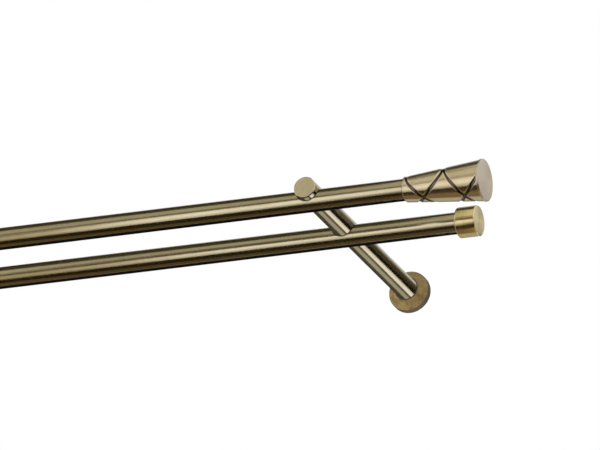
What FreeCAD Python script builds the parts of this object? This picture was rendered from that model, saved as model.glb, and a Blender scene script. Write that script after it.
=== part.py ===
import FreeCAD, Part
import Sketcher
import os

# Double curtain pole with inside tracks: two slotted poles hang under two wall brackets.
# X runs along the poles, +Y goes into the wall, +Z is up, in millimetres.
# The origin lies on the wall, midway between the two bracket rods.

os.makedirs("parts", exist_ok=True)
doc = FreeCAD.newDocument("double_curtain_pole")

# Driving dimensions, one row each: name, value
dimensions = [
    ("bracket_spacing", "650"),
    ("front_overhang", "72.9"),
    ("rear_overhang", "87.1"),
    ("pole_diameter", "16"),
    ("pole_wall", "1.3"),
    ("track_slot_width", "4.4"),
    ("pole_drop", "5.9"),
    ("rear_standoff", "130.3"),
    ("pole_spacing", "69.5"),
    ("tip_overhang", "12.5"),
    ("rod_diameter", "16.3"),
    ("rod_tip_chamfer", "0.5"),
    ("saddle_clearance", "0.05"),
    ("stud_hole_diameter", "6.8"),
    ("stud_hole_depth", "26"),
    ("rosette_diameter", "30.8"),
    ("rosette_rim", "5.3"),
    ("rosette_rise", "5"),
    ("rosette_edge_chamfer", "0.5"),
    ("rosette_bore_clearance", "0.1"),
    ("finial_length", "60.6"),
    ("finial_mouth_diameter", "18.3"),
    ("finial_cone_end_diameter", "30"),
    ("finial_disc_diameter", "30.7"),
    ("finial_disc_thickness", "1.8"),
    ("finial_disc_rise", "0.5"),
    ("finial_disc_chamfer", "0.5"),
    ("mouth_chamfer", "0.6"),
    ("groove_width", "1.85"),
    ("groove_depth", "0.6"),
    ("groove_one_position", "11.7"),
    ("groove_one_tilt", "44"),
    ("groove_one_hinge", "42"),
    ("groove_two_position", "18.7"),
    ("groove_two_tilt", "45.4"),
    ("groove_two_hinge", "49"),
    ("groove_three_position", "41.5"),
    ("groove_three_tilt", "37.7"),
    ("groove_three_hinge", "33"),
    ("groove_four_position", "51"),
    ("groove_four_tilt", "41"),
    ("groove_four_hinge", "50"),
    ("cap_diameter", "22.4"),
    ("cap_length", "15.6"),
    ("cap_chamfer", "0.7"),
    ("spigot_length", "18"),
    ("spigot_clearance", "0.1"),
    ("spigot_chamfer", "0.6"),
    ("end_screw_inset", "9"),
    ("clamp_screw_diameter", "5"),
    ("clamp_screw_length", "5"),
    ("clamp_screw_hex", "2.5"),
    ("clamp_screw_hex_depth", "2.4"),
    ("small_screw_diameter", "4"),
    ("rosette_screw_length", "5.5"),
    ("end_screw_length", "10"),
    ("small_screw_hex", "2"),
    ("small_screw_hex_depth", "2"),
    ("screw_point_chamfer", "0.8"),
    ("screw_head_chamfer", "0.3"),
    ("thread_clearance", "0.05"),
]

sheet = doc.addObject("Spreadsheet::Sheet", "Dims")
for row, (alias, value) in enumerate(dimensions, start=1):
    sheet.set("A%d" % row, alias)
    sheet.set("B%d" % row, value)
    sheet.setAlias("B%d" % row, alias)
doc.recompute()


def dims(expression):
    # Prefixes every name of the sheet, so that expressions read as plain sums.
    words = expression.replace("(", " ( ").replace(")", " ) ").split()
    known = [alias for alias, value in dimensions]
    return " ".join("Dims." + word if word in known else word for word in words)


# Sums that several pieces share
poleRadius = "pole_diameter / 2"
boreRadius = "( pole_diameter / 2 - pole_wall )"
rodRadius = "rod_diameter / 2"
rearAxis = "rear_standoff"
frontAxis = "( rear_standoff + pole_spacing )"
rodLength = "( rear_standoff + pole_spacing + tip_overhang )"
bracketX = "bracket_spacing / 2"
pointRadius = "( small_screw_diameter / 2 - thread_clearance - screw_point_chamfer )"
pointSeat = "( " + boreRadius + " ^ 2 - " + pointRadius + " ^ 2 ) ^ 0.5"


def new_body(label):
    body = doc.addObject("PartDesign::Body", label)
    body.Label = label
    body.AllowCompound = True
    return body


def new_sketch(body, plane, name):
    sketch = body.newObject("Sketcher::SketchObject", body.Name + "_" + name)
    support = [item for item in body.Origin.OriginFeatures if item.Role == plane][0]
    sketch.AttachmentSupport = [(support, "")]
    sketch.MapMode = "FlatFace"
    return sketch


def bind(sketch, constraint, expression):
    # A driven constraint starts from a nonzero value; the sheet then sets it.
    index = sketch.addConstraint(constraint)
    label = "size_%d" % index
    sketch.renameConstraint(index, label)
    sketch.setExpression("Constraints." + label, dims(expression))


def value_of(expression):
    # A spare cell of the sheet works out where a sketch line starts from.
    sheet.set("D1", "=" + expression)
    sheet.recompute()
    return float(sheet.get("D1"))


def pin_point(sketch, geometry, point, across, along):
    # Holds one sketch point at its distances from the sketch's own axes.
    for kind, expression, axis in (("DistanceX", across, -2), ("DistanceY", along, -1)):
        if expression == "0":
            sketch.addConstraint(Sketcher.Constraint("PointOnObject", geometry, point, axis))
            continue
        negative = expression.startswith("- ")
        size = expression[2:] if negative else expression
        if negative:
            rule = Sketcher.Constraint(kind, geometry, point, -1, 1, value_of(size))
        else:
            rule = Sketcher.Constraint(kind, -1, 1, geometry, point, value_of(size))
        bind(sketch, rule, size)


def signed_value(expression):
    if expression == "0":
        return 0.0
    if expression.startswith("- "):
        return -value_of(expression[2:])
    return value_of(expression)


def draw_outline(sketch, corners):
    # A closed outline of straight lines through corners given as sheet expressions.
    points = [FreeCAD.Vector(signed_value(u), signed_value(v), 0) for u, v in corners]
    first = sketch.GeometryCount
    count = len(points)
    for index in range(count):
        sketch.addGeometry(Part.LineSegment(points[index], points[(index + 1) % count]))
    for index in range(count):
        following = first + (index + 1) % count
        sketch.addConstraint(Sketcher.Constraint("Coincident", first + index, 2, following, 1))
    for index, (u, v) in enumerate(corners):
        pin_point(sketch, first + index, 1, u, v)


def draw_circle(sketch, u, v, radius):
    centre = FreeCAD.Vector(signed_value(u), signed_value(v), 0)
    circle = Part.Circle(centre, FreeCAD.Vector(0, 0, 1), value_of(radius))
    index = sketch.addGeometry(circle)
    pin_point(sketch, index, 3, u, v)
    bind(sketch, Sketcher.Constraint("Radius", index, value_of(radius)), radius)


def revolve(body, sketch, axis):
    turned = body.newObject("PartDesign::Revolution", sketch.Name + "_turned")
    turned.Profile = sketch
    turned.ReferenceAxis = (sketch, [axis])
    turned.Angle = 360
    sketch.Visibility = False
    return turned


def pad_both_ways(body, sketch, length):
    pad = body.newObject("PartDesign::Pad", sketch.Name + "_pad")
    pad.Profile = sketch
    pad.Midplane = True
    pad.setExpression("Length", dims(length))
    return pad


def cut(body, sketch, length=None, reverse=False, both=False):
    pocket = body.newObject("PartDesign::Pocket", sketch.Name + "_cut")
    pocket.Profile = sketch
    pocket.Reversed = reverse
    pocket.Midplane = both
    if length is None:
        pocket.Type = "ThroughAll"
    else:
        pocket.setExpression("Length", dims(length))
    return pocket


def place(body, x, y, z):
    for letter, expression in (("x", x), ("y", y), ("z", z)):
        if expression != "0":
            body.setExpression("Placement.Base." + letter, dims(expression))


def face_left(body):
    # The left-hand end piece is the same part, turned round to point the other way.
    body.Placement.Rotation = FreeCAD.Rotation(FreeCAD.Vector(0, 0, 1), 180)


# Poles: a round tube with the glider slot along its underside
def make_pole(label, axis, overhang):
    body = new_body(label)
    ring = new_sketch(body, "YZ_Plane", "ring")
    draw_circle(ring, "0", "0", poleRadius)
    draw_circle(ring, "0", "0", boreRadius)
    pad_both_ways(body, ring, "bracket_spacing + 2 * " + overhang)
    slot = new_sketch(body, "YZ_Plane", "slot")
    half = "track_slot_width / 2"
    draw_outline(slot, [
        ("- " + half, "- " + poleRadius + " / 2"),
        (half, "- " + poleRadius + " / 2"),
        (half, "- pole_diameter"),
        ("- " + half, "- pole_diameter"),
    ])
    cut(body, slot, both=True)
    place(body, "0", "- " + axis, "- pole_drop")
    return body


# Bracket rods: turned bar with two saddles open below, tapped from above and from the wall
def make_rod(label, side):
    body = new_body(label)
    bar = new_sketch(body, "XY_Plane", "bar")
    draw_outline(bar, [
        ("0", "0"),
        (rodRadius, "0"),
        (rodRadius, "- ( " + rodLength + " - rod_tip_chamfer )"),
        ("( " + rodRadius + " - rod_tip_chamfer )", "- " + rodLength),
        ("0", "- " + rodLength),
    ])
    revolve(body, bar, "V_Axis")
    saddles = new_sketch(body, "YZ_Plane", "saddles")
    for axis in (frontAxis, rearAxis):
        draw_circle(saddles, "- " + axis, "- pole_drop", poleRadius + " + saddle_clearance")
    cut(body, saddles, both=True)
    taps = new_sketch(body, "XY_Plane", "clamp_taps")
    for axis in (frontAxis, rearAxis):
        draw_circle(taps, "0", "- " + axis, "clamp_screw_diameter / 2")
    cut(body, taps, reverse=True)
    stud = new_sketch(body, "XZ_Plane", "stud_hole")
    draw_circle(stud, "0", "0", "stud_hole_diameter / 2")
    cut(body, stud, length="stud_hole_depth", reverse=True)
    place(body, side + bracketX, "0", "0")
    return body


# Rosettes: turned cover rings round the rods, with a slightly raised face
def make_rosette(label, side):
    body = new_body(label)
    ring = new_sketch(body, "XY_Plane", "ring")
    bore = "( " + rodRadius + " + rosette_bore_clearance )"
    outer = "rosette_diameter / 2"
    draw_outline(ring, [
        (bore, "0"),
        (outer, "0"),
        (outer, "- ( rosette_rim - rosette_edge_chamfer )"),
        ("( " + outer + " - rosette_edge_chamfer )", "- rosette_rim"),
        (bore, "- ( rosette_rim + rosette_rise )"),
    ])
    revolve(body, ring, "V_Axis")
    tap = new_sketch(body, "XY_Plane", "screw_tap")
    draw_circle(tap, "0", "- rosette_rim / 2", "small_screw_diameter / 2")
    cut(body, tap, reverse=True)
    place(body, side + bracketX, "0", "0")
    return body


# The spigot that every end piece pushes into its pole, with a hole for the clamp screw
def spigot_corners():
    radius = "( " + boreRadius + " - spigot_clearance )"
    return [
        ("- spigot_length", "0"),
        ("- spigot_length", "( " + radius + " - spigot_chamfer )"),
        ("- ( spigot_length - spigot_chamfer )", radius),
        ("0", radius),
    ]


def drill_spigot(body):
    tap = new_sketch(body, "XY_Plane", "screw_tap")
    draw_circle(tap, "- end_screw_inset", "0", "small_screw_diameter / 2")
    cut(body, tap, both=True)


# Finials: the cone is cut by four tilted slots, then a smaller core fills it up to the groove floors
def make_finial(label, side):
    body = new_body(label)
    coneEnd = "( finial_length - finial_disc_thickness )"
    mouth = "finial_mouth_diameter / 2"
    cone = new_sketch(body, "XY_Plane", "cone")
    draw_outline(cone, [
        ("0", "0"),
        ("0", "( " + mouth + " - mouth_chamfer )"),
        ("mouth_chamfer", mouth),
        (coneEnd, "finial_cone_end_diameter / 2"),
        (coneEnd, "0"),
    ])
    revolve(body, cone, "H_Axis")
    for name, lean in (("one", ""), ("two", "-"), ("three", ""), ("four", "-")):
        groove = body.newObject("Sketcher::SketchObject", body.Name + "_groove_" + name)
        draw_outline(groove, [
            ("- groove_width / 2", "- finial_cone_end_diameter"),
            ("groove_width / 2", "- finial_cone_end_diameter"),
            ("groove_width / 2", "finial_cone_end_diameter"),
            ("- groove_width / 2", "finial_cone_end_diameter"),
        ])
        turn = "rotation(vector(1; 0; 0); Dims.groove_%s_hinge + 90)" % name
        tilt = "rotation(vector(0; 0; 1); " + lean + "Dims.groove_%s_tilt)" % name
        base = "vector(Dims.groove_%s_position; 0; 0)" % name
        groove.setExpression("Placement", "placement(" + base + "; " + turn + " * " + tilt + ")")
        cut(body, groove, both=True)
    core = new_sketch(body, "XY_Plane", "core")
    draw_outline(core, spigot_corners() + [
        ("0", "( " + mouth + " - groove_depth )"),
        (coneEnd, "( finial_cone_end_diameter / 2 - groove_depth )"),
        (coneEnd, "finial_disc_diameter / 2"),
        ("( finial_length - finial_disc_chamfer )", "finial_disc_diameter / 2"),
        ("finial_length", "( finial_disc_diameter / 2 - finial_disc_chamfer )"),
        ("( finial_length + finial_disc_rise )", "0"),
    ])
    revolve(body, core, "H_Axis")
    drill_spigot(body)
    if side == "- ":
        face_left(body)
    place(body, side + "( " + bracketX + " + front_overhang )", "- " + frontAxis, "- pole_drop")
    return body


# End caps of the rear pole: plain turned drums
def make_cap(label, side):
    body = new_body(label)
    drum = new_sketch(body, "XY_Plane", "drum")
    outer = "cap_diameter / 2"
    draw_outline(drum, spigot_corners() + [
        ("0", "( " + outer + " - cap_chamfer )"),
        ("cap_chamfer", outer),
        ("( cap_length - cap_chamfer )", outer),
        ("cap_length", "( " + outer + " - cap_chamfer )"),
        ("cap_length", "0"),
    ])
    revolve(body, drum, "H_Axis")
    drill_spigot(body)
    if side == "- ":
        face_left(body)
    place(body, side + "( " + bracketX + " + rear_overhang )", "- " + rearAxis, "- pole_drop")
    return body


# Set screws: flat point at the bottom, hexagon socket in the other end
def make_screw(label, diameter, length, hexagon, depth):
    body = new_body(label)
    shank = new_sketch(body, "XZ_Plane", "shank")
    radius = "( " + diameter + " / 2 - thread_clearance )"
    draw_outline(shank, [
        ("0", "0"),
        ("( " + radius + " - screw_point_chamfer )", "0"),
        (radius, "screw_point_chamfer"),
        (radius, "( " + length + " - screw_head_chamfer )"),
        ("( " + radius + " - screw_head_chamfer )", length),
        ("0", length),
    ])
    revolve(body, shank, "V_Axis")
    socket = new_sketch(body, "XY_Plane", "socket")
    socket.setExpression("AttachmentOffset.Base.z", dims(length))
    half = hexagon + " / 2"
    tip = hexagon + " / 3 ^ 0.5"
    near = hexagon + " / 12 ^ 0.5"
    draw_outline(socket, [
        (tip, "0"),
        (near, half),
        ("- " + near, half),
        ("- " + tip, "0"),
        ("- " + near, "- " + half),
        (near, "- " + half),
    ])
    cut(body, socket, length=depth)
    return body


nodes = [
    make_pole("front_pole", frontAxis, "front_overhang"),
    make_pole("rear_pole", rearAxis, "rear_overhang"),
]
for hand, side in (("right", ""), ("left", "- ")):
    nodes.append(make_rod("bracket_rod_" + hand, side))
    nodes.append(make_rosette("rosette_" + hand, side))
    nodes.append(make_finial("finial_" + hand, side))
    nodes.append(make_cap("end_cap_" + hand, side))
    small = ("small_screw_hex", "small_screw_hex_depth")
    clamp = ("clamp_screw_diameter", "clamp_screw_length", "clamp_screw_hex", "clamp_screw_hex_depth")
    for pole, axis, overhang, piece in (
        ("front", frontAxis, "front_overhang", "finial"),
        ("rear", rearAxis, "rear_overhang", "end_cap"),
    ):
        # Clamp screws stand on the poles' tops, inside the rods.
        screw = make_screw("%s_clamp_screw_%s" % (pole, hand), *clamp)
        place(screw, side + bracketX, "- " + axis, poleRadius + " - pole_drop")
        nodes.append(screw)
        # End screws press up under the pole's round roof and are turned through the slot.
        screw = make_screw(piece + "_screw_" + hand, "small_screw_diameter", "end_screw_length", *small)
        screw.Placement.Rotation = FreeCAD.Rotation(FreeCAD.Vector(1, 0, 0), 180)
        reach = side + "( " + bracketX + " + " + overhang + " - end_screw_inset )"
        place(screw, reach, "- " + axis, pointSeat + " - pole_drop")
        nodes.append(screw)
    screw = make_screw("rosette_screw_" + hand, "small_screw_diameter", "rosette_screw_length", *small)
    place(screw, side + bracketX, "- rosette_rim / 2", rodRadius)
    nodes.append(screw)

doc.recompute()

# Every object is checked before its solid is written
for item in doc.Objects:
    if "Invalid" in item.State or "Error" in item.State:
        raise RuntimeError("not recomputed: " + item.Label + " " + str(item.State))
for body in nodes:
    shape = body.Shape
    if shape.isNull() or not shape.isValid() or len(shape.Solids) != 1:
        raise RuntimeError("bad solid: " + body.Label)
    shape.exportStep("parts/" + body.Label + ".step")
    box = shape.BoundBox
    corners = (box.XMin, box.XMax, box.YMin, box.YMax, box.ZMin, box.ZMax)
    print(body.Label, round(shape.Volume, 1), [round(edge, 2) for edge in corners])
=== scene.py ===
import bpy
import bmesh
import math
from mathutils import Matrix, Vector


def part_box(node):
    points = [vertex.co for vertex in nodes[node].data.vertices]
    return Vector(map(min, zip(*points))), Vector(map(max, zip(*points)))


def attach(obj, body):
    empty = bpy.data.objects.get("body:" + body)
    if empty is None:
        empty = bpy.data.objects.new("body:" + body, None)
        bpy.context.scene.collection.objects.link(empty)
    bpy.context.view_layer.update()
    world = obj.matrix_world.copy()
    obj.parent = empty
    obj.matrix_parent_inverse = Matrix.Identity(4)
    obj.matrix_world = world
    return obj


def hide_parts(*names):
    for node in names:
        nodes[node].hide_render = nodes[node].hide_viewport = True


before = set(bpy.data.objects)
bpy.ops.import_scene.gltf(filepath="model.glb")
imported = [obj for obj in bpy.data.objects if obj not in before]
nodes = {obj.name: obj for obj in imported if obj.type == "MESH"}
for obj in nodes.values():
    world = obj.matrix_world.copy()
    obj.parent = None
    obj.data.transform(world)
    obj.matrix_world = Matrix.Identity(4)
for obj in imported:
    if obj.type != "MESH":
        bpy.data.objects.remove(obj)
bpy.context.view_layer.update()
mm = 0.001
print("frame loaded:", len(nodes), "nodes")


# where the pieces sit, read from the frame
def axisOf(node):
    low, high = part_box(node)
    return (low + high) / 2


def tubeAxis(node):
    # the slot is open below, so the axis is measured down from the top
    low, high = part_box(node)
    radius = (high.y - low.y) / 2
    return Vector((0, (low.y + high.y) / 2, high.z - radius)), radius


frontAxis, poleRadius = tubeAxis("front_pole")
rearAxis = tubeAxis("rear_pole")[0]
bracketX = axisOf("bracket_rod_right").x


# camera: long lens, below and to the right of the poles, as in the photograph
camera = {
    "azimuth": 22.308, "elevation": -22.361, "roll": 1.921, "lens": 600.0, "sensor": 36.0,
    "distance": 7.135, "farthest": 100.0, "aimPixel": (310.37, 201.35), "frame": (600, 450),
}


def makeCamera(spec):
    data = bpy.data.cameras.new("photoCamera")
    data.sensor_width = spec["sensor"]
    data.lens = spec["lens"]
    data.clip_end = spec["farthest"]
    turn, rise, roll = (math.radians(spec[key]) for key in ("azimuth", "elevation", "roll"))
    flat = math.cos(rise)
    towards = Vector((flat * math.sin(turn), -flat * math.cos(turn), math.sin(rise)))
    level = Vector((math.cos(turn), math.sin(turn), 0))
    above = towards.cross(level)
    right = level * math.cos(roll) + above * math.sin(roll)
    up = above * math.cos(roll) - level * math.sin(roll)
    spot = Vector((bracketX, frontAxis.y, frontAxis.z)) + towards * spec["distance"]
    # turn a little, so that the aim point falls on its own pixel without any lens shift
    width, height = spec["frame"]
    pixels = spec["lens"] / spec["sensor"] * width
    offX = width / 2 - spec["aimPixel"][0]
    offY = height / 2 - spec["aimPixel"][1]
    back = (towards * pixels - right * offX + up * offY).normalized()
    right = (right - back * right.dot(back)).normalized()
    up = back.cross(right)
    obj = bpy.data.objects.new("photoCamera", data)
    bpy.context.scene.collection.objects.link(obj)
    basis = Matrix((right, up, back)).transposed().to_4x4()
    obj.matrix_world = Matrix.Translation(spot) @ basis
    bpy.context.scene.camera = obj


makeCamera(camera)
print("camera placed")


# mesh helpers
meshing = {
    "smoothAngle": 32, "cornerSteps": 5, "cornerShare": 0.45, "softSteps": 2,
    "holeAround": 64, "noRadius": 1e-6,
}


def addPiece(name, bm):
    mesh = bpy.data.meshes.new(name)
    bmesh.ops.recalc_face_normals(bm, faces=bm.faces)
    bm.to_mesh(mesh)
    bm.free()
    obj = bpy.data.objects.new(name, mesh)
    bpy.context.scene.collection.objects.link(obj)
    finishShading(mesh)
    return obj


def finishShading(mesh):
    mesh.shade_smooth()
    mesh.set_sharp_from_angle(angle=math.radians(meshing["smoothAngle"]))


def bendCorner(start, corner, end, steps):
    # soft bend from start to end, drawn towards the corner
    bend = []
    for i in range(steps + 1):
        t = i / steps
        point = start * (1 - t) ** 2 + corner * 2 * t * (1 - t) + end * t ** 2
        bend.append((point.x, point.y))
    return bend


def roundCorners(points, radius):
    # softens every inner corner of an open line of (along, radius) points
    share = meshing["cornerShare"]
    out = [points[0]]
    for before, here, after in zip(points, points[1:], points[2:]):
        corner = Vector(here)
        toBefore, toAfter = Vector(before) - corner, Vector(after) - corner
        reach = min(radius, toBefore.length * share, toAfter.length * share)
        start = corner + toBefore.normalized() * reach
        end = corner + toAfter.normalized() * reach
        out += bendCorner(start, corner, end, meshing["cornerSteps"])
    out.append(points[-1])
    return out


def latheRings(bm, profile, segments, frameOf):
    # rings of vertices round an axis; a point with no radius is one vertex
    rings = []
    for along, radius in profile:
        if radius < meshing["noRadius"]:
            rings.append([bm.verts.new(frameOf(along, 0, 0))])
            continue
        ring = []
        for i in range(segments):
            t = 2 * math.pi * i / segments
            ring.append(bm.verts.new(frameOf(along, radius * math.cos(t), radius * math.sin(t))))
        rings.append(ring)
    return rings


def joinRings(bm, rings, closed=False):
    pairs = list(zip(rings, rings[1:]))
    if closed:
        pairs.append((rings[-1], rings[0]))
    for one, two in pairs:
        count = max(len(one), len(two))
        for i in range(count):
            j = (i + 1) % count
            corners = [one[i % len(one)], one[j % len(one)], two[j % len(two)], two[i % len(two)]]
            unique = []
            for v in corners:
                if v not in unique:
                    unique.append(v)
            if len(unique) > 2:
                bm.faces.new(unique)


def lathe(name, profile, segments, frameOf, closed=False):
    bm = bmesh.new()
    joinRings(bm, latheRings(bm, profile, segments, frameOf), closed)
    return addPiece(name, bm)


def carve(obj, cutters):
    # cuts holes with plain cutters, then throws the cutters away
    for cutter in cutters:
        mod = obj.modifiers.new("cut", "BOOLEAN")
        mod.operation = "DIFFERENCE"
        mod.solver = "EXACT"
        mod.object = cutter
    bpy.context.view_layer.update()
    done = obj.evaluated_get(bpy.context.evaluated_depsgraph_get())
    mesh = bpy.data.meshes.new_from_object(done)
    obj.modifiers.clear()
    old = obj.data
    obj.data = mesh
    bpy.data.meshes.remove(old)
    for cutter in cutters:
        shape = cutter.data
        bpy.data.objects.remove(cutter)
        bpy.data.meshes.remove(shape)
    finishShading(mesh)


def roundCutter(radius, start, end, segments=meshing["holeAround"]):
    # a plain cylinder from start to end
    line = end - start
    turn = line.to_track_quat("Z", "Y").to_matrix()
    profile = [(0, 0), (0, radius), (line.length, radius), (line.length, 0)]
    return lathe("cutter", profile, segments, lambda along, u, v: start + turn @ Vector((u, v, along)))


def softenEdges(obj, width, angle, material):
    mod = obj.modifiers.new("softEdges", "BEVEL")
    mod.material = material
    mod.width = width
    mod.segments = meshing["softSteps"]
    mod.limit_method = "ANGLE"
    mod.angle_limit = math.radians(angle)
    mod.harden_normals = False


# shader helpers
def addNode(tree, kind, **settings):
    node = tree.nodes.new(kind)
    for key, value in settings.items():
        setattr(node, key, value)
    return node


def feed(tree, socket, source):
    if isinstance(source, bpy.types.NodeSocket):
        tree.links.new(source, socket)
    else:
        socket.default_value = source


def maths(tree, operation, first, second=0.0, third=None):
    node = addNode(tree, "ShaderNodeMath", operation=operation)
    feed(tree, node.inputs[0], first)
    feed(tree, node.inputs[1], second)
    if third is not None:
        feed(tree, node.inputs[2], third)
    return node.outputs[0]


def vectorMaths(tree, operation, first, second=None):
    node = addNode(tree, "ShaderNodeVectorMath", operation=operation)
    feed(tree, node.inputs[0], first)
    if second is not None:
        feed(tree, node.inputs["Scale" if operation == "SCALE" else 1], second)
    return node.outputs["Value" if operation in ("DOT_PRODUCT", "LENGTH") else "Vector"]


def ramp(tree, value, low, high, toLow=0.0, toHigh=1.0, smooth=False):
    node = addNode(tree, "ShaderNodeMapRange", interpolation_type="SMOOTHSTEP" if smooth else "LINEAR")
    for socket, source in zip(node.inputs[:5], (value, low, high, toLow, toHigh)):
        feed(tree, socket, source)
    return node.outputs[0]


def blendColour(tree, factor, one, two):
    node = addNode(tree, "ShaderNodeMix", data_type="RGBA", blend_type="MIX")
    feed(tree, node.inputs["Factor"], factor)
    feed(tree, node.inputs[6], one)
    feed(tree, node.inputs[7], two)
    return node.outputs[2]


def objectPlace(tree):
    return tree.nodes.new("ShaderNodeTexCoord").outputs["Object"]


def addNoise(tree, vector, scale, detail, rough, **settings):
    noise = addNode(tree, "ShaderNodeTexNoise", **settings)
    feed(tree, noise.inputs["Vector"], vector)
    feed(tree, noise.inputs["Scale"], scale)
    noise.inputs["Detail"].default_value = detail
    noise.inputs["Roughness"].default_value = rough
    return noise.outputs["Fac"]


def newGroup(name, inputs, outputs):
    group = bpy.data.node_groups.new(name, "ShaderNodeTree")
    for label, kind, value in inputs:
        socket = group.interface.new_socket(label, in_out="INPUT", socket_type=kind)
        socket.default_value = value
    for label, kind in outputs:
        group.interface.new_socket(label, in_out="OUTPUT", socket_type=kind)
    return group, group.nodes.new("NodeGroupInput"), group.nodes.new("NodeGroupOutput")


def place(tree, group, **values):
    node = tree.nodes.new("ShaderNodeGroup")
    node.node_tree = group
    for key, value in values.items():
        feed(tree, node.inputs[key], value)
    return node


# shared effect: tarnish clouds and fine specks of old brass
tarnishNoise = {
    "cloudDetail": 5.0, "cloudRough": 0.6, "cloudRange": (0.35, 0.7),
    "speckDetail": 2.0, "speckRough": 0.5, "speckRange": (0.56, 0.72),
}


def makeTarnish(spec):
    group, inputs, outputs = newGroup(
        "tarnish",
        [("Cloud Size", "NodeSocketFloat", 60.0), ("Speck Size", "NodeSocketFloat", 1500.0)],
        [("Clouds", "NodeSocketFloat"), ("Specks", "NodeSocketFloat")],
    )
    coords = objectPlace(group)
    clouds = addNoise(group, coords, inputs.outputs["Cloud Size"], spec["cloudDetail"], spec["cloudRough"])
    specks = addNoise(group, coords, inputs.outputs["Speck Size"], spec["speckDetail"], spec["speckRough"])
    feed(group, outputs.inputs["Clouds"], ramp(group, clouds, *spec["cloudRange"], smooth=True))
    feed(group, outputs.inputs["Specks"], ramp(group, specks, *spec["speckRange"], smooth=True))
    return group


# shared effect: long fine lines of a drawn tube or bar
drawnNoise = {"detail": 3.0, "rough": 0.7, "range": (0.3, 0.7)}


def makeDrawnLines(spec):
    group, inputs, outputs = newGroup(
        "drawnLines",
        [("Stretch", "NodeSocketVector", (0.02, 1, 1)), ("Turn", "NodeSocketFloat", 0.0),
         ("Density", "NodeSocketFloat", 1800.0)],
        [("Lines", "NodeSocketFloat")],
    )
    swing = addNode(group, "ShaderNodeVectorRotate", rotation_type="Y_AXIS")
    feed(group, swing.inputs["Vector"], objectPlace(group))
    feed(group, swing.inputs["Angle"], inputs.outputs["Turn"])
    drawn = vectorMaths(group, "MULTIPLY", swing.outputs[0], inputs.outputs["Stretch"])
    noise = addNoise(group, drawn, inputs.outputs["Density"], spec["detail"], spec["rough"])
    feed(group, outputs.inputs["Lines"], ramp(group, noise, *spec["range"]))
    return group


# shared effect: rings left by the lathe, with the distance along and out from the axis and how far up
turnedNoise = {"detail": 3.0, "rough": 0.65, "range": (0.3, 0.7)}


def makeTurnedLines(spec):
    group, inputs, outputs = newGroup(
        "turnedLines",
        [("Centre", "NodeSocketVector", (0, 0, 0)), ("Axis", "NodeSocketVector", (1, 0, 0)),
         ("Density", "NodeSocketFloat", 2500.0)],
        [("Lines", "NodeSocketFloat"), ("Along", "NodeSocketFloat"),
         ("Radius", "NodeSocketFloat"), ("Up", "NodeSocketFloat")],
    )
    axis, density = inputs.outputs["Axis"], inputs.outputs["Density"]
    offset = vectorMaths(group, "SUBTRACT", objectPlace(group), inputs.outputs["Centre"])
    along = vectorMaths(group, "DOT_PRODUCT", offset, axis)
    away = vectorMaths(group, "SUBTRACT", offset, vectorMaths(group, "SCALE", axis, along))
    radius = vectorMaths(group, "LENGTH", away)
    both = addNode(group, "ShaderNodeCombineXYZ")
    feed(group, both.inputs[0], along)
    feed(group, both.inputs[1], radius)
    noise = addNoise(group, both.outputs[0], density, spec["detail"], spec["rough"], noise_dimensions="2D")
    split = addNode(group, "ShaderNodeSeparateXYZ")
    feed(group, split.inputs[0], away)
    feed(group, outputs.inputs["Lines"], ramp(group, noise, *spec["range"]))
    feed(group, outputs.inputs["Along"], along)
    feed(group, outputs.inputs["Radius"], radius)
    feed(group, outputs.inputs["Up"], maths(group, "DIVIDE", split.outputs["Z"], radius))
    return group


# shared effect: painted contact shade where each rod meets a pole, from the distance to the rod's axis
contactShadeFade = (0.3, 1.0)  # shares of the width where the dark starts and ends to fade


def makeRodContactShade():
    group, inputs, outputs = newGroup(
        "rodContactShade",
        [("Rod Place", "NodeSocketFloat", 0.3), ("Rod Radius", "NodeSocketFloat", 0.008),
         ("Width", "NodeSocketFloat", 0.001)],
        [("Seam", "NodeSocketFloat")],
    )
    split = addNode(group, "ShaderNodeSeparateXYZ")
    feed(group, split.inputs[0], objectPlace(group))
    x, z = split.outputs["X"], split.outputs["Z"]
    across = maths(group, "SUBTRACT", maths(group, "ABSOLUTE", x), inputs.outputs["Rod Place"])
    square = maths(group, "MULTIPLY", across, across)
    away = maths(group, "SQRT", maths(group, "MULTIPLY_ADD", z, z, square))
    gap = maths(group, "SUBTRACT", away, inputs.outputs["Rod Radius"])
    share = maths(group, "DIVIDE", gap, inputs.outputs["Width"])
    feed(group, outputs.inputs["Seam"], ramp(group, share, *contactShadeFade, 1.0, 0.0))
    return group


tarnish = makeTarnish(tarnishNoise)
rodContactShade = makeRodContactShade()
drawnLines = makeDrawnLines(drawnNoise)
turnedLines = makeTurnedLines(turnedNoise)


def metalMaterial(name, anisotropy=0.0):
    material = bpy.data.materials.new(name)
    material.use_nodes = True
    tree = material.node_tree
    shader = tree.nodes["Principled BSDF"]
    shader.inputs["Metallic"].default_value = 1.0
    shader.inputs["Anisotropic"].default_value = anisotropy
    shader.inputs["Anisotropic Rotation"].default_value = 0.25  # a quarter turn
    return material, tree, shader


def brassColour(tree, spec, lines):
    # brass darkened by the lines, and by tarnish clouds and specks
    dirt = place(tree, tarnish, **{"Cloud Size": spec["cloudSize"], "Speck Size": spec["speckSize"]})
    line = maths(tree, "MULTIPLY", lines, spec["lineTone"])
    colour = blendColour(tree, line, spec["colour"], spec["lineColour"])
    cloud = maths(tree, "MULTIPLY", dirt.outputs["Clouds"], spec["cloudTone"])
    colour = blendColour(tree, cloud, colour, spec["tarnishColour"])
    speck = maths(tree, "MULTIPLY", dirt.outputs["Specks"], spec["speckTone"])
    return blendColour(tree, speck, colour, spec["tarnishColour"])


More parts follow.
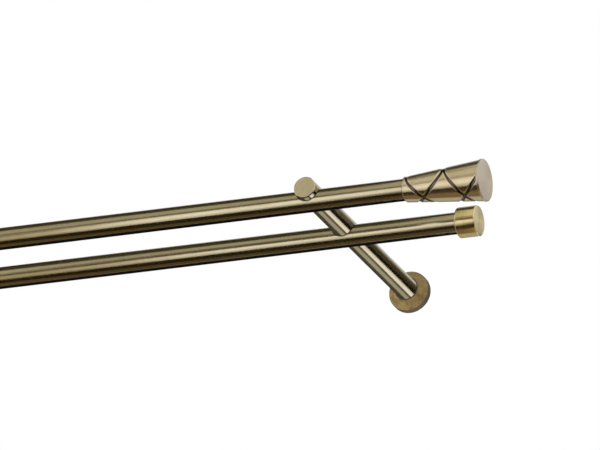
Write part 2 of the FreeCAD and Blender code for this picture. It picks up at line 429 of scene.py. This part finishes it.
def bumpFrom(tree, shader, height, spec):
    bump = addNode(tree, "ShaderNodeBump")
    feed(tree, bump.inputs["Height"], height)
    bump.inputs["Distance"].default_value = spec["bumpDepth"]
    bump.inputs["Strength"].default_value = spec["bump"]
    tree.links.new(bump.outputs["Normal"], shader.inputs["Normal"])


# drawn brass of the rods; the poles and tips have their own kinds of it, and the soft rod edges a dark one
# that is painted shade
drawnBrass = {
    "colour": (0.576, 0.477, 0.271, 1), "lineColour": (0.480, 0.389, 0.211, 1),
    "tarnishColour": (0.360, 0.278, 0.129, 1), "lineTone": 0.30,
    "cloudSize": 45.0, "cloudTone": 0.16, "speckSize": 1500.0, "speckTone": 0.16,
    "rough": (0.13, 0.21), "bump": 0.10, "bumpDepth": 0.02 * mm,
    "stretch": (1, 0.02, 1), "turn": 0.0, "density": 1800.0,
}
# the poles carry a painted contact shade: a dark ring round each rod's footprint
poleBrass = dict(
    drawnBrass, stretch=(0.02, 1, 1), rough=(0.155, 0.225),
    contactShadeRadius=8.15 * mm, contactShadeWidth=1.1 * mm, contactShadeColour=(0.036, 0.0266, 0.00946, 1),
)
tipBrass = dict(
    drawnBrass, stretch=(0.06, 1, 1), turn=40.0, density=900.0, rough=(0.30, 0.40),
    colour=(0.71, 0.60, 0.36, 1), lineColour=(0.52, 0.43, 0.235, 1), lineTone=0.6,
)
# dark kind for the rods' soft edges round the saddles and holes: a painted contact shade line where the rods
# meet the poles
edgeShadeBrass = dict(drawnBrass, colour=(0.06, 0.0444, 0.0193, 1), lineColour=(0.084, 0.0611, 0.0258, 1))


def makeDrawnBrass(name, spec):
    material, tree, shader = metalMaterial(name)
    turn = math.radians(spec["turn"])
    drawn = place(tree, drawnLines, Stretch=spec["stretch"], Turn=turn, Density=spec["density"])
    lines = drawn.outputs["Lines"]
    colour = brassColour(tree, spec, lines)
    # painted contact shade round each rod where it meets the pole
    if "contactShadeColour" in spec:
        contactShade = place(tree, rodContactShade, Width=spec["contactShadeWidth"], **{
            "Rod Place": bracketX, "Rod Radius": spec["contactShadeRadius"],
        })
        colour = blendColour(tree, contactShade.outputs["Seam"], colour, spec["contactShadeColour"])
    tree.links.new(colour, shader.inputs["Base Color"])
    tree.links.new(ramp(tree, lines, 0, 1, *spec["rough"]), shader.inputs["Roughness"])
    bumpFrom(tree, shader, lines, spec)
    return material


# turned brass of rosettes, caps and finials: how far along each finish blends into the next
turnedBlend = {
    "spigot": (-0.3 * mm, -0.1 * mm), "cone": (0.3 * mm, 0.8 * mm), "disc": 0.3 * mm, "end": 0.5 * mm,
    "patinaGloss": 0.2,
}


def blackenGrooves(tree, groove, turned, colour, rough):
    along = turned.outputs["Along"]
    surface = maths(tree, "MULTIPLY_ADD", along, groove["slope"], groove["mouthRadius"])
    depth = maths(tree, "SUBTRACT", surface, turned.outputs["Radius"])
    # towards the top the blackening is rubbed off the walls, so the line thins out
    worn = ramp(tree, turned.outputs["Up"], *groove["wornSpan"], smooth=True)
    black = maths(tree, "MULTIPLY_ADD", worn, -groove["wornDepth"], depth)
    mask = ramp(tree, black, *groove["wall"], smooth=True)
    shine = ramp(tree, worn, 0, 1, 1.0, groove["wornFloor"])
    floor = ramp(tree, depth, *groove["floor"], 0.0, shine, smooth=True)
    onCone = ramp(tree, along, *turnedBlend["cone"])
    mask = maths(tree, "MULTIPLY", mask, onCone)
    discStart = groove["discStart"]
    beforeDisc = ramp(tree, along, discStart - turnedBlend["disc"], discStart, 1.0, 0.0)
    mask = maths(tree, "MULTIPLY", mask, beforeDisc)
    inGroove = blendColour(tree, floor, groove["colour"], groove["floorColour"])
    colour = blendColour(tree, mask, colour, inGroove)
    return colour, ramp(tree, mask, 0, 1, rough, groove["rough"])


def makeTurnedBrass(name, spec, centre, axis, radial):
    material, tree, shader = metalMaterial(name, spec["anisotropy"])
    turned = place(tree, turnedLines, Centre=centre, Axis=axis, Density=spec["density"])
    lines, along, radius = (turned.outputs[key] for key in ("Lines", "Along", "Radius"))
    colour = brassColour(tree, spec, lines)
    rough = ramp(tree, lines, 0, 1, *spec["rough"])
    if "spigotColour" in spec:
        inside = ramp(tree, along, *turnedBlend["spigot"], 1.0, 0.0)
        colour = blendColour(tree, inside, colour, spec["spigotColour"])
    # painted shade: the rim is darkened, and a painted contact shade rings the bore where the rod meets the
    # face
    if "rimShadeColour" in spec:
        rim = ramp(tree, radius, *spec["rimShadeRange"], smooth=True)
        colour = blendColour(tree, rim, colour, spec["rimShadeColour"])
        contactShade = ramp(tree, radius, *spec["contactShadeRange"], 1.0, 0.0)
        colour = blendColour(tree, contactShade, colour, spec["contactShadeColour"])
    if "groove" in spec:
        colour, rough = blackenGrooves(tree, spec["groove"], turned, colour, rough)
    if "endColour" in spec:
        face = ramp(tree, along, spec["endStart"], spec["endStart"] + turnedBlend["end"])
        colour = blendColour(tree, maths(tree, "MULTIPLY", face, spec["endTone"]), colour, spec["endColour"])
        rough = ramp(tree, face, 0, 1, rough, spec["endRough"])
    tree.links.new(colour, shader.inputs["Base Color"])
    tree.links.new(rough, shader.inputs["Roughness"])
    shader.inputs["Metallic"].default_value = 1 - spec["patina"]
    shader.inputs["Specular IOR Level"].default_value = turnedBlend["patinaGloss"]
    tangent = addNode(tree, "ShaderNodeTangent", direction_type="RADIAL", axis=radial)
    tree.links.new(tangent.outputs["Tangent"], shader.inputs["Tangent"])
    bumpFrom(tree, shader, lines, spec)
    return material


# dark steel: blackened for the set screws, and a dull near-black painted shade inside the tubes
screwSteel = {
    "colour": (0.06, 0.057, 0.055, 1), "worn": (0.20, 0.19, 0.18, 1), "rough": (0.32, 0.5),
    "metal": 1.0, "gloss": 0.5, "cloudSize": 400.0, "speckSize": 2500.0,
    "bump": 0.3, "bumpDepth": 0.02 * mm,
}
tubeShadeSteel = dict(
    screwSteel, colour=(0.006, 0.0055, 0.005, 1), worn=(0.014, 0.013, 0.012, 1), rough=(0.7, 0.9),
    metal=0.0, gloss=0.04,
)


def makeDarkSteel(name, spec):
    material, tree, shader = metalMaterial(name)
    shader.inputs["Metallic"].default_value = spec["metal"]
    shader.inputs["Specular IOR Level"].default_value = spec["gloss"]
    dirt = place(tree, tarnish, **{"Cloud Size": spec["cloudSize"], "Speck Size": spec["speckSize"]})
    clouds, specks = dirt.outputs["Clouds"], dirt.outputs["Specks"]
    tree.links.new(blendColour(tree, specks, spec["colour"], spec["worn"]), shader.inputs["Base Color"])
    tree.links.new(ramp(tree, clouds, 0, 1, *spec["rough"]), shader.inputs["Roughness"])
    bumpFrom(tree, shader, specks, spec)
    return material


blackSteel = makeDarkSteel("blackSteel", screwSteel)
tubeInsideShade = makeDarkSteel("tubeInsideShade", tubeShadeSteel)
drawnAlongX = makeDrawnBrass("poleBrass", poleBrass)
drawnAlongY = makeDrawnBrass("rodBrass", drawnBrass)
paintedEdgeShade = makeDrawnBrass("edgeShadeBrass", edgeShadeBrass)
tipFace = makeDrawnBrass("tipBrass", tipBrass)


# poles: slotted tube with rounded slot lips, painted shade inside and on the inner part of the lips
pole = {
    "wall": 1.3 * mm, "slot": 4.4 * mm, "outerSteps": 96, "innerSteps": 56, "lengthSteps": 20,
    "lip": 0.35 * mm, "lipShare": 0.9, "lipSteps": 4, "shadeLip": 0.8, "shadeDepth": 0.4 * mm,
}


def arc(radius, start, end, steps):
    # points round the tube's axis, the angle measured from straight down
    line = []
    for i in range(steps + 1):
        t = start + (end - start) * i / steps
        line.append((math.sin(t) * radius, -math.cos(t) * radius))
    return line


def poleOutline():
    inner = poleRadius - pole["wall"]
    half = pole["slot"] / 2
    outStart, inStart = math.asin(half / poleRadius), math.asin(half / inner)
    outside = arc(poleRadius, outStart, 2 * math.pi - outStart, pole["outerSteps"])
    inside = arc(inner, 2 * math.pi - inStart, inStart, pole["innerSteps"])
    line = outside + inside
    lips = {0, len(outside) - 1, len(outside), len(line) - 1}
    outline = []
    for i, point in enumerate(line):
        if i not in lips:
            outline.append(point)
            continue
        corner = Vector(point)
        ends = []
        for other in (line[i - 1], line[(i + 1) % len(line)]):
            side = Vector(other) - corner
            ends.append(corner + side.normalized() * min(pole["lip"], side.length * pole["lipShare"]))
        outline += bendCorner(ends[0], corner, ends[1], pole["lipSteps"])
    return outline


def makePole(name, node, axis):
    low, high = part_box(node)
    outline = poleOutline()
    bm = bmesh.new()
    rings = []
    for i in range(pole["lengthSteps"] + 1):
        x = low.x + (high.x - low.x) * i / pole["lengthSteps"]
        rings.append([bm.verts.new((x, axis.y + u, axis.z + v)) for u, v in outline])
    joinRings(bm, rings)
    bm.faces.new(list(reversed(rings[0])))
    bm.faces.new(rings[-1])
    obj = addPiece(name, bm)
    obj.data.materials.append(drawnAlongX)
    obj.data.materials.append(tubeInsideShade)
    # painted shade: the inside and the inner lips take the near-black tube shade
    lipReach = pole["slot"] / 2 + pole["lip"] * pole["shadeLip"]
    for face in obj.data.polygons:
        u, v = face.center.y - axis.y, face.center.z - axis.z
        inLip = v < 0 and abs(u) < lipReach
        inside = math.hypot(u, v) < poleRadius - pole["shadeDepth"]
        if abs(face.normal.x) < 0.5 and (inLip or inside):
            face.material_index = 1
    obj.visible_glossy = False
    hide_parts(node)
    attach(obj, "root")


makePole("frontPole", "front_pole", frontAxis)
makePole("rearPole", "rear_pole", rearAxis)
print("poles made")


# bracket rods: turned bars with saddles, tapped holes and a stud hole
rod = {
    "tipChamfer": 0.5 * mm, "saddle": 8.05 * mm, "tap": 2.5 * mm, "stud": 3.4 * mm, "studDepth": 26 * mm,
    "soft": 0.6 * mm, "softAngle": 60, "around": 128, "tipDepth": 0.1 * mm,
}


def makeRod(name, node):
    low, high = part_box(node)
    x = axisOf(node).x
    radius = (high.x - low.x) / 2
    length, chamfer = -low.y, rod["tipChamfer"]
    profile = [(0, 0), (0, radius), (length - chamfer, radius), (length, radius - chamfer), (length, 0)]
    obj = lathe(name, profile, rod["around"], lambda along, u, v: Vector((x + u, -along, v)))
    cutters = []
    side = Vector((radius * 2, 0, 0))
    for tube in (frontAxis, rearAxis):
        middle = Vector((x, tube.y, tube.z))
        cutters.append(roundCutter(rod["saddle"], middle - side, middle + side, rod["around"]))
        cutters.append(roundCutter(rod["tap"], Vector((x, tube.y, 0)), Vector((x, tube.y, radius * 2))))
    cutters.append(roundCutter(rod["stud"], Vector((x, radius, 0)), Vector((x, -rod["studDepth"], 0))))
    carve(obj, cutters)
    obj.data.materials.clear()
    for material in (drawnAlongY, tipFace, paintedEdgeShade):
        obj.data.materials.append(material)
    # the soft edges take the dark painted-shade brass
    softenEdges(obj, rod["soft"], rod["softAngle"], 2)
    for face in obj.data.polygons:
        if face.normal.y < -0.9 and face.center.y < low.y + rod["tipDepth"]:
            face.material_index = 1
    obj.visible_glossy = False
    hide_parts(node)
    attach(obj, "root")


for hand in ("right", "left"):
    makeRod("rod" + hand.title(), "bracket_rod_" + hand)
print("rods made")


# rosettes: cover rings with a raised face
rosette = {
    "chamfer": 0.5 * mm, "rise": 5.0 * mm, "bore": 8.25 * mm, "soft": 0.25 * mm, "tap": 2.0 * mm,
    "around": 160, "colour": (0.345, 0.245, 0.095, 1), "lineColour": (0.295, 0.205, 0.076, 1),
    "tarnishColour": (0.12, 0.078, 0.024, 1), "lineTone": 0.5,
    "cloudSize": 190.0, "cloudTone": 0.68, "speckSize": 1500.0, "speckTone": 0.3,
    "rough": (0.52, 0.64), "bump": 0.2, "bumpDepth": 0.03 * mm, "patina": 0.74,
    "anisotropy": 0.0, "density": 1200.0,
    # painted shade on the rim, and painted contact shade round the bore where the rod comes out
    "rimShadeRange": (14.8 * mm, 15.3 * mm), "rimShadeColour": (0.13, 0.105, 0.06, 1),
    "contactShadeRange": (8.4 * mm, 9.3 * mm), "contactShadeColour": (0.05, 0.04, 0.018, 1),
}


def makeRosette(name, node):
    low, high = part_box(node)
    x = axisOf(node).x
    outer = (high.x - low.x) / 2
    rim = -low.y - rosette["rise"]
    c, bore = rosette["chamfer"], rosette["bore"]
    profile = [(0, bore), (0, outer), (rim - c, outer), (rim, outer - c), (-low.y, bore)]
    line = roundCorners(profile, rosette["soft"])
    turned = lambda along, u, v: Vector((x + u, -along, v))
    obj = lathe(name, line, rosette["around"], turned, closed=True)
    tapStart = Vector((x, -rim / 2, 0))
    carve(obj, [roundCutter(rosette["tap"], tapStart, tapStart + Vector((0, 0, outer * 1.5)))])
    obj.data.materials.clear()
    obj.data.materials.append(makeTurnedBrass(name + "Brass", rosette, (x, 0, 0), (0, 1, 0), "Y"))
    obj.visible_glossy = False
    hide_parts(node)
    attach(obj, "root")


for hand in ("right", "left"):
    makeRosette("rosette" + hand.title(), "rosette_" + hand)
print("rosettes made")


# spigot of each end piece, with a tapped hole for its screw
spigot = {
    "length": 18 * mm, "radius": 6.6 * mm, "chamfer": 0.6 * mm, "screwInset": 9 * mm, "screwTap": 2.0 * mm,
}


def spigotProfile():
    r, c, end = spigot["radius"], spigot["chamfer"], -spigot["length"]
    return [(end, 0), (end, r - c), (end + c, r), (0, r)]


def drillSpigot(obj, mouth, side):
    mid = Vector((mouth.x - side * spigot["screwInset"], mouth.y, mouth.z))
    reach = Vector((0, 0, spigot["radius"] * 1.3))
    carve(obj, [roundCutter(spigot["screwTap"], mid - reach, mid + reach)])


# end caps of the rear pole: turned drums
cap = {
    "length": 15.6 * mm, "chamfer": 0.7 * mm, "soft": 0.35 * mm, "around": 144,
    "colour": (0.705, 0.557, 0.255, 1), "lineColour": (0.565, 0.426, 0.171, 1),
    "tarnishColour": (0.387, 0.275, 0.09, 1), "lineTone": 0.4,
    "cloudSize": 70.0, "cloudTone": 0.12, "speckSize": 1500.0, "speckTone": 0.12,
    "rough": (0.21, 0.27), "bump": 0.05, "bumpDepth": 0.03 * mm, "patina": 0.022,
    "anisotropy": 0.7, "density": 1100.0, "spigotColour": (0.03, 0.028, 0.025, 1),
    "endStart": 15.1 * mm, "endColour": (0.66, 0.58, 0.375, 1), "endTone": 0.8, "endRough": 0.42,
}


def makeCap(name, node, side):
    low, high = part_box(node)
    centre = axisOf(node)
    outer = (high.y - low.y) / 2
    c, length = cap["chamfer"], cap["length"]
    mouth = Vector(((high.x if side > 0 else low.x) - side * length, centre.y, centre.z))
    drum = [(0, spigot["radius"]), (0, outer - c), (c, outer)]
    drum += [(length - c, outer), (length, outer - c), (length, 0)]
    line = spigotProfile()[:-1] + roundCorners(drum, cap["soft"])
    turned = lambda along, u, v: mouth + Vector((side * along, side * u, v))
    obj = lathe(name, line, cap["around"], turned)
    drillSpigot(obj, mouth, side)
    obj.data.materials.clear()
    obj.data.materials.append(makeTurnedBrass(name + "Brass", cap, mouth, (side, 0, 0), "X"))
    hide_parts(node)
    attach(obj, "root")


# finials: cone with four tilted ring grooves, blackened inside, and a pale end disc
finial = {
    "length": 60.6 * mm, "mouth": 9.15 * mm, "coneEnd": 15.0 * mm, "mouthChamfer": 0.6 * mm,
    "mouthStep": 0.1 * mm, "mouthSoft": 0.25 * mm,
    "disc": 15.35 * mm, "discThick": 1.8 * mm, "discRise": 0.5 * mm,
    "discChamfer": 0.4 * mm, "discSoft": 0.35 * mm,
    "grooveWidth": 1.85 * mm, "grooveDepth": 0.6 * mm, "grooveSoft": 0.48 * mm,
    # position, lean, tilt and hinge of each ring groove
    "grooves": (
        (11.7 * mm, -1, 44.0, 42.0), (18.7 * mm, 1, 45.4, 49.0),
        (41.5 * mm, -1, 37.7, 33.0), (51.0 * mm, 1, 41.0, 50.0),
    ),
    "around": 240, "along": 190,
    "colour": (0.71, 0.57, 0.335, 1), "lineColour": (0.585, 0.45, 0.24, 1),
    "tarnishColour": (0.39, 0.285, 0.125, 1), "lineTone": 0.25,
    "cloudSize": 50.0, "cloudTone": 0.12, "speckSize": 1500.0, "speckTone": 0.12,
    "rough": (0.24, 0.27), "bump": 0.03, "bumpDepth": 0.03 * mm, "patina": 0.016,
    "anisotropy": 0.75, "density": 1000.0, "spigotColour": (0.03, 0.028, 0.025, 1),
    "endStart": 58.8 * mm, "endColour": (0.525, 0.456, 0.36, 1), "endTone": 0.94, "endRough": 0.42,
}
coneLength = finial["length"] - finial["discThick"]
coneSlope = (finial["coneEnd"] - finial["mouth"]) / coneLength
finial["groove"] = {
    "slope": coneSlope, "mouthRadius": finial["mouth"], "discStart": coneLength,
    "wall": (0.07 * mm, 0.17 * mm), "floor": (0.52 * mm, 0.598 * mm), "rough": 0.22,
    "colour": (0.006, 0.00444, 0.00344, 1), "floorColour": (0.180, 0.144, 0.103, 1),
    "wornSpan": (-0.45, 0.60), "wornDepth": 0.40 * mm, "wornFloor": 0.35,
}


def grooveCut(along, radius, turn):
    # depth of the deepest groove at one place on the cone, for a finial that points along +X
    deepest = 0.0
    soft = finial["grooveSoft"]
    for position, lean, tilt, hinge in finial["grooves"]:
        tilt, hinge = math.radians(tilt), math.radians(hinge)
        across = radius * (math.cos(hinge) * math.sin(turn) - math.sin(hinge) * math.cos(turn))
        off = abs((along - position) * math.cos(tilt) - lean * across * math.sin(tilt))
        edge = (finial["grooveWidth"] / 2 + soft - off) / (2 * soft)
        edge = min(1.0, max(0.0, edge))
        deepest = max(deepest, edge * edge * (3 - 2 * edge))
    return deepest * finial["grooveDepth"]


def finialRings():
    # along, radius and whether grooves cut there, from the spigot's end to the middle of the disc
    mouth, c, length = finial["mouth"], finial["mouthChamfer"], finial["length"]
    inside = (0, mouth - c - finial["mouthStep"])
    start = c + finial["mouthStep"]
    mouthLine = [inside, (0, mouth - c), (c, mouth + c * coneSlope), (start, mouth + start * coneSlope)]
    plain = spigotProfile() + roundCorners(mouthLine, finial["mouthSoft"])
    rings = [(along, radius, False) for along, radius in plain]
    for i in range(1, finial["along"] + 1):
        along = start + (coneLength - start) * i / finial["along"]
        rings.append((along, mouth + along * coneSlope, True))
    d, c = finial["disc"], finial["discChamfer"]
    discLine = [(coneLength, finial["coneEnd"]), (coneLength, d), (length - c, d), (length, d - c)]
    discLine.append((length + finial["discRise"], 0))
    discLine = roundCorners(discLine, finial["discSoft"])
    return rings + [(along, radius, False) for along, radius in discLine[1:]]


def makeFinial(name, node, side):
    low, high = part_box(node)
    centre = axisOf(node)
    discFace = (high.x if side > 0 else low.x) - side * finial["discRise"]
    mouth = Vector((discFace - side * finial["length"], centre.y, centre.z))
    bm = bmesh.new()
    shells = []
    for along, radius, grooved in finialRings():
        x = mouth.x + side * along
        if radius < meshing["noRadius"]:
            shells.append([bm.verts.new((x, mouth.y, mouth.z))])
            continue
        ring = []
        for i in range(finial["around"]):
            turn = 2 * math.pi * i / finial["around"]
            r = radius - (grooveCut(along, radius, turn) if grooved else 0.0)
            ring.append(bm.verts.new((x, mouth.y + side * r * math.cos(turn), mouth.z + r * math.sin(turn))))
        shells.append(ring)
    joinRings(bm, shells)
    obj = addPiece(name, bm)
    drillSpigot(obj, mouth, side)
    obj.data.materials.clear()
    obj.data.materials.append(makeTurnedBrass(name + "Brass", finial, mouth, (side, 0, 0), "X"))
    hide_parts(node)
    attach(obj, "root")


for hand, side in (("right", 1), ("left", -1)):
    makeCap("endCap" + hand.title(), "end_cap_" + hand, side)
    makeFinial("finial" + hand.title(), "finial_" + hand, side)
print("end pieces made")


# set screws keep their solids
for node, obj in nodes.items():
    if "screw" in node:
        obj.data.materials.clear()
        obj.data.materials.append(blackSteel)
print("screws finished")


# studio: pale floor far below, white surroundings, and cards that only the metal sees
studio = {
    "floor": -1.75, "floorHalf": 14.0, "floorColour": (0.82, 0.82, 0.81, 1), "floorRough": 0.8,
    "soft": (0.75, 0.76, 0.78, 1), "white": (1, 1, 1, 1),
    "middle": (0.0, -0.17, 0.0), "cardStep": 5, "fanSteps": 12, "fanDepth": 0.3,
    "leftFanDepth": 0.29, "leftFanSize": 0.31,
}
softbox = {"spot": (-0.9, -2.9, -0.5), "aim": (0, -0.1, 0), "size": (2.0, 2.0), "power": 60}
# cards: angle from and to, seen along the poles (0 is the room, 90 overhead, 180 the wall), reach along
# the poles from left to right, distance from the middle, colour; the near ones stand before the others
cards = {
    "overhead": (78, 142, -0.66, 0.6, 1.6, (0.0467, 0.045, 0.0233)),
    "overheadFar": (78, 142, -1.7, -0.66, 1.6, (0.142, 0.117, 0.093)),
    "overheadEdge": (59, 90, -0.21, 0.245, 0.417, (0.0583, 0.0559, 0.0302)),
    "overheadLeft": (66, 78, -1.7, -0.66, 1.6, (0.700, 0.703, 0.698)),
    "overheadRight": (66, 78, -0.12, 0.6, 1.6, (0.667, 0.667, 0.628)),
    "highFrontFar": (23, 66, -1.05, -0.66, 1.6, (1.033, 1.027, 1.070)),
    "highFrontLeft": (23, 63, -0.66, -0.44, 1.6, (0.417, 0.432, 0.419)),
    "highFront": (23, 63, -0.44, -0.30, 1.6, (0.558, 0.586, 0.570)),
    "highFrontMid": (23, 63, -0.30, -0.12, 1.6, (0.375, 0.387, 0.360)),
    "highFrontRight": (23, 66, -0.12, 0.12, 1.6, (1.133, 1.135, 1.070)),
    "lowFrontFar": (6, 23, -1.05, -0.66, 1.6, (0.933, 0.901, 0.930)),
    "lowFrontLeft": (1, 23, -0.66, -0.44, 1.6, (0.167, 0.153, 0.116)),
    "lowFrontEdge": (4, 23, -0.44, -0.34, 1.6, (0.200, 0.198, 0.163)),
    "lowFrontMid": (2, 23, -0.34, -0.185, 1.6, (0.0333, 0.0288, 0.0163)),
    "lowFrontCap": (9, 27, -0.185, -0.12, 1.6, (0.0333, 0.0288, 0.0163)),
    "lowFrontRight": (6, 23, -0.12, 0.12, 1.6, (0.667, 0.649, 0.535)),
    "glowTop": (-7, 6, -0.66, -0.185, 1.6, (1.233, 1.315, 1.581)),
    "glowTopCap": (0, 9, -0.185, 0.12, 1.6, (1.233, 1.315, 1.581)),
    "glowBand": (-29, -7, -1.3, -0.30, 1.6, (1.450, 1.532, 1.884)),
    "glowBandRight": (-29, -7, -0.30, -0.185, 1.6, (1.283, 1.351, 1.651)),
    "glowBandCap": (-22, 0, -0.185, 0.4, 1.6, (1.283, 1.351, 1.651)),
    "glowFoot": (-43.5, -29, -0.66, -0.30, 1.6, (1.133, 1.189, 1.395)),
    "glowFootRight": (-43.5, -29, -0.30, -0.185, 1.6, (0.667, 0.685, 0.744)),
    "glowFootCap": (-33, -22, -0.185, 0.12, 1.6, (0.600, 0.613, 0.651)),
    "greyTop": (-7, 6, -1.1, -0.15, 0.8, (0.233, 0.207, 0.140)),
    "greyUpper": (-19, -7, -1.1, -0.15, 0.8, (0.450, 0.423, 0.337)),
    "greyMid": (-31, -19, -1.1, -0.15, 0.8, (0.600, 0.568, 0.465)),
    "greyFoot": (-44, -31, -1.1, -0.15, 0.8, (0.417, 0.378, 0.302)),
    "darkBelow": (-84, -43.5, -4.0, -0.185, 1.6, (0.0183, 0.0135, 0.00465)),
    "darkBelowCap": (-72, -33, -0.185, 4.0, 1.6, (0.0217, 0.0162, 0.00581)),
    "brownFar": (-128, -84, -1.05, -0.66, 1.6, (0.317, 0.225, 0.135)),
    "brownBelow": (-128, -84, -0.66, -0.185, 1.6, (0.0967, 0.0757, 0.0419)),
    "brownCap": (-128, -72, -0.185, 0.02, 1.6, (0.0867, 0.0685, 0.0372)),
    "wallAbove": (142, 176, -0.66, 0.10, 1.6, (1.50, 1.60, 2.00)),
    "wallBelow": (-176, -128, -0.66, 0.10, 1.6, (1.25, 1.35, 1.65)),
    "warmLeft": (-128, -84, -4.0, -1.05, 1.6, (0.667, 0.486, 0.302)),
    "warmRight": (-128, -72, 0.02, 4.0, 1.6, (0.667, 0.486, 0.302)),
}
# strip inside the front pole, standing for its dark back as the rear pole mirrors it
poleShade = {"left": -0.40, "right": 0.365, "half": 7.2 * mm, "colour": (0.100, 0.0901, 0.0651)}
# fan behind each rod: angle from and to, seen from the room (0 is right, 90 up), size, colour
fan = {
    "fanLeft": (-230, -134, 0.9, (0.0667, 0.0649, 0.0419)),
    "fanLowLeft": (-134, -92, 0.9, (0.533, 0.559, 0.581)),
    "fanLow": (-92, -72, 0.9, (0.125, 0.123, 0.1)),
    "fanBand": (-70, -48, 0.9, (1.417, 1.477, 1.791)),
    "fanBandRight": (-48, -32, 0.9, (1.10, 1.18, 1.49)),
    "fanRight": (-32, 1, 0.9, (0.00833, 0.00541, 0.00233)),
    "fanHighRight": (1, 42, 0.33, (0.0667, 0.0523, 0.0256)),
    "fanHigh": (42, 66, 0.33, (0.175, 0.168, 0.135)),
    "fanTop": (66, 130, 0.9, (0.667, 0.703, 0.767)),
}


def stageOnly(obj):
    obj.visible_camera = False
    obj.visible_diffuse = False
    obj.visible_transmission = False
    obj.visible_volume_scatter = False
    obj.visible_shadow = False


def clearBehind(tree, shader, out):
    # a face seen from behind is not there
    clear = addNode(tree, "ShaderNodeBsdfTransparent")
    mix = addNode(tree, "ShaderNodeMixShader")
    side = addNode(tree, "ShaderNodeNewGeometry")
    tree.links.new(side.outputs["Backfacing"], mix.inputs[0])
    tree.links.new(shader.outputs[0], mix.inputs[1])
    tree.links.new(clear.outputs[0], mix.inputs[2])
    tree.links.new(mix.outputs[0], out.inputs["Surface"])


def glowMaterial(name, colour, oneSided):
    material = bpy.data.materials.new(name)
    material.use_nodes = True
    tree = material.node_tree
    tree.nodes.clear()
    glow = addNode(tree, "ShaderNodeEmission")
    glow.inputs["Color"].default_value = (*colour, 1)
    out = addNode(tree, "ShaderNodeOutputMaterial")
    if oneSided:
        clearBehind(tree, glow, out)
    else:
        tree.links.new(glow.outputs[0], out.inputs["Surface"])
    return material


def addCard(name, bm, colour, oneSided=False):
    obj = addPiece("card" + name[0].upper() + name[1:], bm)
    obj.data.materials.append(glowMaterial(name, colour, oneSided))
    stageOnly(obj)
    return obj


def makeCards():
    mid = Vector(studio["middle"])
    for name, (start, end, left, right, away, colour) in cards.items():
        bm = bmesh.new()
        rings = []
        steps = max(2, int(abs(end - start) / studio["cardStep"]))
        for i in range(steps + 1):
            t = math.radians(start + (end - start) * i / steps)
            y, z = mid.y - math.cos(t) * away, mid.z + math.sin(t) * away
            rings.append([bm.verts.new((x, y, z)) for x in (left, right)])
        for one, two in zip(rings, rings[1:]):
            bm.faces.new((one[0], one[1], two[1], two[0]))
        addCard(name, bm, colour)


def makeFans():
    leftFan = (-bracketX, studio["leftFanDepth"], studio["leftFanSize"])
    for name, (start, end, size, colour) in fan.items():
        bm = bmesh.new()
        for x, depth, r in ((bracketX, studio["fanDepth"], size), leftFan):
            corners = [(x, depth, 0)]
            for i in range(studio["fanSteps"] + 1):
                t = math.radians(start + (end - start) * i / studio["fanSteps"])
                corners.append((x + r * math.cos(t), depth, r * math.sin(t)))
            bm.faces.new([bm.verts.new(c) for c in corners])
        addCard(name, bm, colour)


def makePoleShade():
    bm = bmesh.new()
    left, right, half = poleShade["left"], poleShade["right"], poleShade["half"]
    corners = [(left, -half), (right, -half), (right, half), (left, half)]
    bm.faces.new([bm.verts.new((x, frontAxis.y, frontAxis.z + z)) for x, z in corners])
    shade = addCard("poleShade", bm, poleShade["colour"], oneSided=True)
    if shade.data.polygons[0].normal.y < 0:
        shade.data.flip_normals()


def makeFloor():
    bm = bmesh.new()
    half = studio["floorHalf"]
    corners = [(-half, -half), (half, -half), (half, half), (-half, half)]
    bm.faces.new([bm.verts.new((x, y, studio["floor"])) for x, y in corners])
    obj = addPiece("floor", bm)
    material = bpy.data.materials.new("paleFloor")
    material.use_nodes = True
    tree = material.node_tree
    shader = tree.nodes["Principled BSDF"]
    shader.inputs["Roughness"].default_value = studio["floorRough"]
    shader.inputs["Base Color"].default_value = studio["floorColour"]
    clearBehind(tree, shader, tree.nodes["Material Output"])
    obj.data.materials.append(material)


def makeWorld():
    world = bpy.data.worlds.new("studio")
    bpy.context.scene.world = world
    world.use_nodes = True
    tree = world.node_tree
    tree.nodes.clear()
    path = addNode(tree, "ShaderNodeLightPath")
    seen = maths(tree, "MAXIMUM", path.outputs["Is Camera Ray"], path.outputs["Is Glossy Ray"])
    seen = maths(tree, "MAXIMUM", seen, path.outputs["Is Transmission Ray"])
    soft = addNode(tree, "ShaderNodeBackground")
    soft.inputs["Color"].default_value = studio["soft"]
    white = addNode(tree, "ShaderNodeBackground")
    white.inputs["Color"].default_value = studio["white"]
    mix = addNode(tree, "ShaderNodeMixShader")
    tree.links.new(seen, mix.inputs[0])
    tree.links.new(soft.outputs[0], mix.inputs[1])
    tree.links.new(white.outputs[0], mix.inputs[2])
    out = addNode(tree, "ShaderNodeOutputWorld")
    tree.links.new(mix.outputs[0], out.inputs["Surface"])


def makeLamp(name, spec):
    data = bpy.data.lights.new(name, "AREA")
    data.shape = "RECTANGLE"
    data.size, data.size_y = spec["size"]
    data.energy = spec["power"]
    obj = bpy.data.objects.new(name, data)
    bpy.context.scene.collection.objects.link(obj)
    obj.location = spec["spot"]
    line = Vector(spec["aim"]) - Vector(spec["spot"])
    obj.rotation_euler = line.to_track_quat("-Z", "Y").to_euler()
    obj.visible_glossy = False


makeCards()
makeFans()
makePoleShade()
makeFloor()
makeWorld()
makeLamp("softbox", softbox)
bpy.context.scene.view_settings.view_transform = "Standard"
print("studio set")
